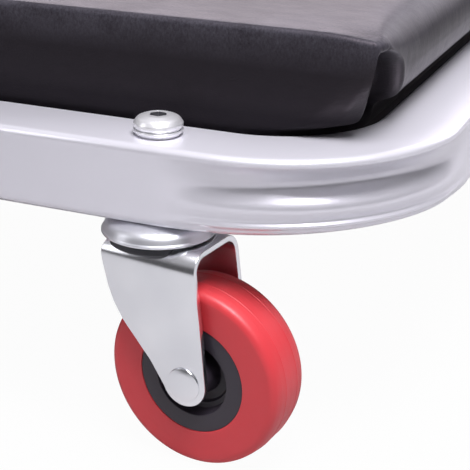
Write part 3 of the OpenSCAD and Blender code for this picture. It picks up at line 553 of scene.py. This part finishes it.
red = Finish("red_tyre", Specular_IOR_Level=0.5, Coat_Roughness=0.3)
red.paint(Base_Color=red.between(red.noise(45, 3), (0.6, 0.038, 0.048, 1), (0.72, 0.054, 0.066, 1)),
          Roughness=red.noise(600, 3) * 0.12 + 0.36)
red.bump(red.noise(900, 2), 0.00003)
tyre = turned("tyre", rounded(*both_ends([
    (22.45, -11.9, 0.3), (30, -11.75, 4), (36.2, -12, 3.2), (37.15, -7.5, 6), (37.4, -4.7, 0.2),
    (37.6, -4.5, 0.15), (37.4, -4.3, 0.2)], [(37.5, 0, 8)])), wheel_steps, across=True)

black = Finish("black_hub", Base_Color=(0.034, 0.027, 0.038, 1))
black.paint(Roughness=black.noise(500, 3) * 0.15 + 0.35)
black.bump(black.noise(1200, 2), 0.00002)
hub = turned("hub", rounded(*both_ends([
    (4.06, 14.1, 0.3), (8, 14.1, 0.5), (8.4, 3.2, 0.8), (12.4, 3.2, 0.5), (12.8, 5.2, 0.4),
    (14.9, 5.4, 0.5), (15.4, 11.6, 0.4), (22.4, 11.6, 0.25)])), wheel_steps, across=True)


def fitted(pattern, at, name, body, *nodes, slot="bright_zinc", finish=zinc):
    """One piece made of a copy of the pattern at each of some casters, in place of its CAD nodes."""
    copies = []
    for spot in at:
        piece = bpy.data.objects.new(name, pattern.data.copy())
        bpy.context.scene.collection.objects.link(piece)
        x, y, _ = casters[spot]
        turn = Matrix.Rotation(math.copysign(toe_out, y), 4, "Z")
        piece.data.transform(Matrix.Translation((x, y, 0)) @ turn)
        copies.append(piece)
    piece = welded(name, copies) if len(copies) > 1 else copies[0]
    finish.cover(piece)
    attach(piece, body)
    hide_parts(*nodes)
    return piece


for name in casters:
    own, turning, rolling = [name], name + "_swivel_fork", name + "_wheel"
    piece = fitted(fork, own, name + "_pressed_fork", turning, name + "_fork")
    # The ball race under the cup gets the painted shade finish.
    painted_shade.cover_faces(piece, piece.data.polygons[fork_faces:])
    fitted(axle, own, name + "_rivet_axle", turning, name + "_axle")
    fitted(tyre, own, name + "_cast_tyre", rolling, name + "_tyre", slot="wheel_urethane", finish=red)
    fitted(hub, own, name + "_moulded_hub", rolling, name + "_hub", slot="hub_nylon", finish=black)
for section in ("base", "seat"):
    own = [name for name in casters if name.startswith(section)]
    bolts = fitted(bolt, own, section + "_button_bolts", section, section + "_caster_bolts", finish=satin)
    # The faces inside each hexagon socket get the painted shade finish.
    painted_shade.cover_faces(bolts, [
        face for face in bolts.data.polygons
        if socket_low * mm < face.center.z < socket_high * mm
        and min((face.center.xy - casters[name].xy).length for name in own) < socket_reach * mm])
    fitted(washer, own, section + "_washers", section, section + "_caster_washers", finish=satin)
    fitted(cup, own, section + "_cups", section, section + "_swivel_cups", finish=frosted)
for pattern in (bolt, washer, cup, fork, axle, tyre, hub):
    bpy.data.objects.remove(pattern)
zinc.cover(*(node for name, node in frame["nodes"].items() if name.endswith((
    "caster_nuts", "swivel_balls", "pad_screws", "pivot_bolts", "pivot_nuts", "pivot_rivets"))))


# The pads. Black vinyl is drawn over a square-cut block of foam and stapled under a plywood board
# with rounded corners, so that it gathers in a deep fold at each corner beside an end bar. The vinyl
# is matte at its foot, carries a painted sheen of paler, mottled colour towards its upper edges, and is
# puckered at the end beside the bar.

vinyl = Finish("black_vinyl", Specular_IOR_Level=0.32, Specular_Tint=(1, 0.86, 0.94, 1))
foot_end, sheen_start, sheen_end, gather_start = 0.142, 0.153, 0.1696, 0.479
streak = vinyl.noise(60, 5, (1, 2.6, 2.6), 0.6)
height = vinyl.along(2)
matte_foot = (foot_end - height).clamped(150)
# Painted sheen: the base colour is made paler in mottled patches along the upper edges, in place of a soft
# reflection there.
painted_sheen_band = (height - sheen_start).clamped(70) * (sheen_end - height).clamped(900)
speckle, patches = vinyl.noise(1300, 4, (1, 1, 0.6), 0.7), vinyl.noise(40, 2, (1, 1, 2))
painted_sheen_patches = (speckle * 0.8 + patches * 0.5 - 0.38).clamped(2.2)
# Base colour: near-black vinyl, painted paler in the sheen band as a painted highlight.
vinyl.paint(Roughness=streak * 0.14 + 0.37 + matte_foot * 0.4,
            Base_Color=vinyl.between(
                painted_sheen_band * painted_sheen_patches, (0.006, 0.0055, 0.008, 1), (0.066, 0.063, 0.078, 1)))
gathers = vinyl.noise(210, 3, (1, 1, 0.15)) * (vinyl.along(0) > gather_start)
grain = vinyl.noise(900, 3, (1, 1, 1.6))
vinyl.bump(grain * 0.5 + streak * 0.2 + vinyl.noise(170, 4) * 0.4 + gathers * 0.9, 0.00018)

board_top, pad_top, side_y = 124.6 * mm, 168.6 * mm, 176.5 * mm
side_roll, end_roll, hinge_roll, hinge_corner = 2.5 * mm, 15 * mm, 7 * mm, 18 * mm
crown, pad_end, bolt_x, corner_depth = 3.5 * mm, 472, 408, 56
dip, dip_x, dip_width = 1.8 * mm, 486 * mm, 12 * mm
corner_steps, side_steps, cloth_frames = 40, 24, 20

# How the cover folds at an end corner, in millimetres by height over the tube: the free edge of the
# front panel (along, back from the side), the rim of the pocket behind it, the pocket's depth, where
# the end wall is, and how far the folded plan takes the place of the board's rounded corner.
corner_fold = np.array([
    (-14, 51.5, 12.4, 42.5, 0, 64, 0), (-3, 51.5, 12.4, 42.5, 0, 64, 0), (0.3, 54, 12.4, 42.5, 2, 64, 0.1),
    (2, 61, 13.3, 42, 6, 63.6, 0.6), (4, 67.5, 13.3, 42, 9, 64, 1), (6, 69, 12.6, 42, 11, 66.5, 1),
    (8, 70, 11.5, 40, 12, 71.5, 1), (10, 71, 9.8, 37, 13, 74.6, 1), (14, 72.6, 6.8, 35, 14, 77, 1),
    (21, 74.8, 3, 31, 14, 78.6, 1), (27, 76.2, 1.1, 26, 14, 79, 1), (30.5, 76.9, 0.6, 19.5, 13, 79, 1),
    (33, 77.2, 0.5, 13.5, 10, 79, 1), (34.2, 77.2, 0.6, 10, 6, 79, 1), (35, 77, 0.7, 9, 0, 79, 1),
    (41, 76.2, 0.7, 9, 0, 79, 1)])
corner_shares = np.array((0, 0.1, 0.2, 0.3, 0.325, 0.375, 0.45, 0.575, 0.675, 0.725, 0.75, 0.8, 1))


def end_corner(up, inset):
    """Plan of one folded corner, from its flat front to its end wall, as (along, back) from the bolt."""
    edge, edge_back, rim, deep, wall, folded = (
        np.interp(up, corner_fold[:, 0], column) for column in corner_fold.T[1:])
    share = np.linspace(0, 1, len(up))
    r = np.maximum(rim - inset, 2)
    turn = np.clip((share - 0.04) / 0.72, 0, 1) * math.pi / 2
    along = wall - inset - r + r * np.sin(turn)
    end_wall = np.clip((share - 0.76) / 0.24, 0, 1) * (corner_depth - r - inset)
    back = inset + r - r * np.cos(turn) + end_wall
    slot = wall - edge
    alongs = np.array((
        edge - 16 - edge_back, edge - 9 - edge_back * 0.6, edge - 3 - edge_back * 0.3, edge,
        edge + 0.2 * slot - 0.3 * deep, edge + 0.4 * slot - 0.8 * deep, edge + 0.6 * slot - deep,
        wall - deep, wall - 0.8 * deep, wall - 0.2 * deep, wall + 0.5, wall, wall))
    backs = np.array((
        0 * up, 0.02 * edge_back, 0.35 * edge_back, edge_back, edge_back + 1, edge_back + 2.4,
        edge_back + (rim - edge_back) * 0.4, edge_back + (rim - edge_back) * 0.8, rim - 1.2,
        rim - 0.8, rim + 0.8, rim + 4, 0 * up + corner_depth))
    facing = np.clip((share - 0.12) / 0.3, 0, 1) * math.pi / 2
    for k, at in enumerate(share):
        along[k] += folded[k] * (
            np.interp(at, corner_shares, alongs[:, k]) - inset[k] * math.sin(facing[k]) - along[k])
        back[k] += folded[k] * (
            np.interp(at, corner_shares, backs[:, k]) + inset[k] * math.cos(facing[k]) - back[k])
    return along, back


def freedom(row, rows, at):
    """How much a point of a pad's cover may settle: not at all at its foot, its middle and its folds."""
    half = corner_steps / 2
    off_corner = abs(at % (corner_steps + side_steps) - half) / half
    return min(1, max(0, row - 3) / 8, max(0, rows - 2 - row) / 4) * min(1, max(0, off_corner - 1) / 0.4)


def pad_ring(lo, hi, level):
    """One line round a pad. lo and hi are (place along X, whether it has folded corners), and level
    gives the inset and the height from the radius of the roll at the top."""
    shares = np.linspace(0, 1, corner_steps + 1)
    widening = np.interp(shares, (0.3, 0.5, 0.725, 0.8, 0.9, 1), (0, 0.05, 0.2, 0.36, 0.78, 1))
    turn = shares * math.pi / 2
    corners = []
    for (x, folded), sx, sy in ((hi, 1, -1), (hi, 1, 1), (lo, -1, 1), (lo, -1, -1)):
        roll = side_roll + ((end_roll if folded else hinge_roll) - side_roll) * widening
        inset, z = level(roll)
        if folded:
            along, back = end_corner((z - tube_top) / mm, inset / mm)
            x, y = sx * (bolt_x + along) * mm, sy * (side_y - back * mm)
        else:
            r = hinge_corner - inset
            x, y = x + sx * (r * np.sin(turn) - hinge_corner), sy * (side_y - inset - r + r * np.cos(turn))
        places = list(zip(x, y, z))
        corners.append(places if sx * sy < 0 else places[::-1])
    ring = []
    for k, corner in enumerate(corners):
        start, stop = Vector(corner[-1]), Vector(corners[(k + 1) % 4][0])
        ring += corner + [tuple(start.lerp(stop, t / side_steps)) for t in range(1, side_steps)]
    return ring


def settled(piece, free, most=4 * mm):
    """Lets the cover press out as cloth does: free is how much each point may move, from 0 to 1."""
    before = np.array([v.co for v in piece.data.vertices])
    held = piece.vertex_groups.new(name="held")
    held.add([k for k, share in enumerate(free) if share == 0], 1, "REPLACE")
    edit(piece, "OBJECT")
    cloth = piece.modifiers.new("cloth", "CLOTH")
    cloth.settings.quality = 5
    cloth.settings.mass = 0.2
    cloth.settings.tension_stiffness = cloth.settings.compression_stiffness = 20
    cloth.settings.shear_stiffness = 8
    cloth.settings.bending_stiffness = 0.3
    cloth.settings.use_pressure = True
    cloth.settings.uniform_pressure_force = 3
    cloth.settings.shrink_min = -0.01
    cloth.settings.vertex_group_mass = "held"
    cloth.settings.effector_weights.gravity = 0
    cloth.point_cache.frame_end = cloth_frames
    for moment in range(1, cloth_frames + 1):
        bpy.context.scene.frame_set(moment)
    bpy.ops.object.modifier_apply(modifier=cloth.name)
    bpy.context.scene.frame_set(1)
    piece.vertex_groups.clear()
    after = np.array([v.co for v in piece.data.vertices])
    move = (after - before) * np.array(free)[:, None]
    length = np.maximum(np.linalg.norm(move, axis=1), 1e-9)
    move *= (most * np.tanh(length / most) / length)[:, None]
    piece.data.vertices.foreach_set("co", (before + move).astype(np.float32).ravel())


def stacked(name, rings, closed_ends=True):
    """A skin through rings of equal count: smoothed and capped at both ends, or joined end to end."""
    n = len(rings[0])
    piece = outline(name, rings[0])
    edit(piece)
    for _ in rings[1:]:
        bpy.ops.mesh.extrude_region_move(TRANSFORM_OT_translate={"value": (0, 0, mm)})
    bpy.ops.object.mode_set(mode="OBJECT")
    piece.data.vertices.foreach_set("co", np.array(rings, np.float32).ravel())
    if closed_ends:
        settled(piece, [freedom(k // n, len(rings), k % n) for k in range(n * len(rings))])
        worked(piece, "SUBSURF", levels=1, render_levels=1)
    bm = bmesh.new()
    bm.from_mesh(piece.data)
    bm.verts.ensure_lookup_table()
    if closed_ends:
        bmesh.ops.holes_fill(bm, edges=[e for e in bm.edges if e.is_boundary], sides=0)
    else:
        first, last = bm.verts[:n], bm.verts[len(bm.verts) - n:]
        for k in range(n):
            bm.faces.new((first[k], first[k - 1], last[k - 1], last[k]))
    bm.to_mesh(piece.data)
    bm.free()
    outward(piece)
    return piece


def pad(name, lo, hi):
    """Foam block in its cover: stacked lines up the sides, over the roll and in to the crown."""
    foot, side_top = -4, 37.5
    rings = []
    for up in (-4, -2.5, -1, 0.5, 2, 3.5, 5, 6.5, 8, 10, 13, 17, 21, 25, 28, 30, 32, 33, 34, 34.8, 36, 37.5):
        w = (up - foot) / (side_top - foot)
        drawn_in = 1.5 * mm * max(0, 1 - w / 0.12)
        rings.append(pad_ring(lo, hi, lambda roll: (
            drawn_in + 0 * roll, board_top + w * (pad_top - roll - board_top))))
    for a in np.radians(range(15, 91, 15)):
        rings.append(pad_ring(lo, hi, lambda roll: (
            roll * (1 - math.cos(a)), pad_top - roll * (1 - math.sin(a)))))
    last = np.array(rings[-1])
    middle, half = (last.max(0) + last.min(0)) / 2, (last.max(0) - last.min(0)) / 2
    for s in (0.03, 0.07, 0.12, 0.2, 0.3, 0.42, 0.56, 0.7, 0.84, 0.95):
        ring = []
        for x, y, z in last:
            x, y = middle[0] + (x - middle[0]) * (1 - s), y * (1 - s)
            swell = (1 - ((x - middle[0]) / half[0]) ** 2) * (1 - (y / half[1]) ** 2)
            ring.append((x, y, z + crown * swell))
        rings.append(ring)
    piece = stacked(name, rings)
    for v in piece.data.vertices:
        up = max(0, (v.co.z - board_top) / (pad_top - board_top))
        for x, folded in (lo, hi):
            if folded:
                away = math.hypot(abs(v.co.x) - dip_x, abs(v.co.y) - side_y) / dip_width
                v.co.z -= dip * up * up * math.exp(-away * away)
    bpy.ops.object.shade_smooth()
    return piece


# Inset and height of the lines round the cover's tucked foot: down beside the board, in under it, and
# back up inside.
foot_lines = np.array([
    (2.2, 127), (2.2, 116), (2.6, 115.4), (3.2, 115.2), (17, 115.2), (17, 115.5), (3.4, 115.5),
    (2.9, 116), (2.9, 127)]) * mm

for section, lo, hi in (
        ("base", 162.48, pad_end), ("middle", -193.12, 152.48), ("seat", -pad_end, -203.12)):
    ends = [(x * mm, abs(x) == pad_end) for x in (lo, hi)]
    piece = pad(section + "_vinyl_pad", *ends)
    vinyl.cover(piece)
    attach(piece, section)
    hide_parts(section + "_pad")

    wrap = stacked(section + "_vinyl_wrap", [
        pad_ring(*ends, lambda roll: (inset + 0 * roll, z + 0 * roll)) for inset, z in foot_lines],
        closed_ends=False)
    edit(wrap, "OBJECT")
    bpy.ops.object.shade_smooth_by_angle(angle=math.radians(50))
    vinyl.cover(wrap)
    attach(wrap, section)


# Under each pad lies a 9 mm plywood board, screwed to the straps.

plywood = Finish("plywood", Roughness=0.75)
board_low, ply = 115.6 * mm, 3.6 * mm
veneer = plywood.node("ShaderNodeMath", {"operation": "SINE"}, {
    0: (plywood.along(2) - board_low) * (math.tau / ply)})
figure = plywood.noise(70, 4, (1, 9, 1))
plywood.paint(Base_Color=plywood.between(
    figure * 0.7 + (veneer > 0.2) * 0.3, (0.62, 0.47, 0.29, 1), (0.40, 0.26, 0.13, 1)))
plywood.bump(figure, 0.0002)
plywood.cover(*(frame["nodes"][s + "_board"] for s in ("base", "middle", "seat")))


# Black moulded plastic closes the cut tube ends, and the same plastic makes the lock knobs.

plastic = Finish("black_plastic", Base_Color=(0.03, 0.03, 0.032, 1))
plastic.paint(Roughness=plastic.noise(800, 3) * 0.2 + 0.4)
plastic.bump(plastic.noise(1500, 2), 0.00003)
plastic.cover(*(node for name, node in frame["nodes"].items() if name.endswith(("tube_plugs", "lock_pin"))))
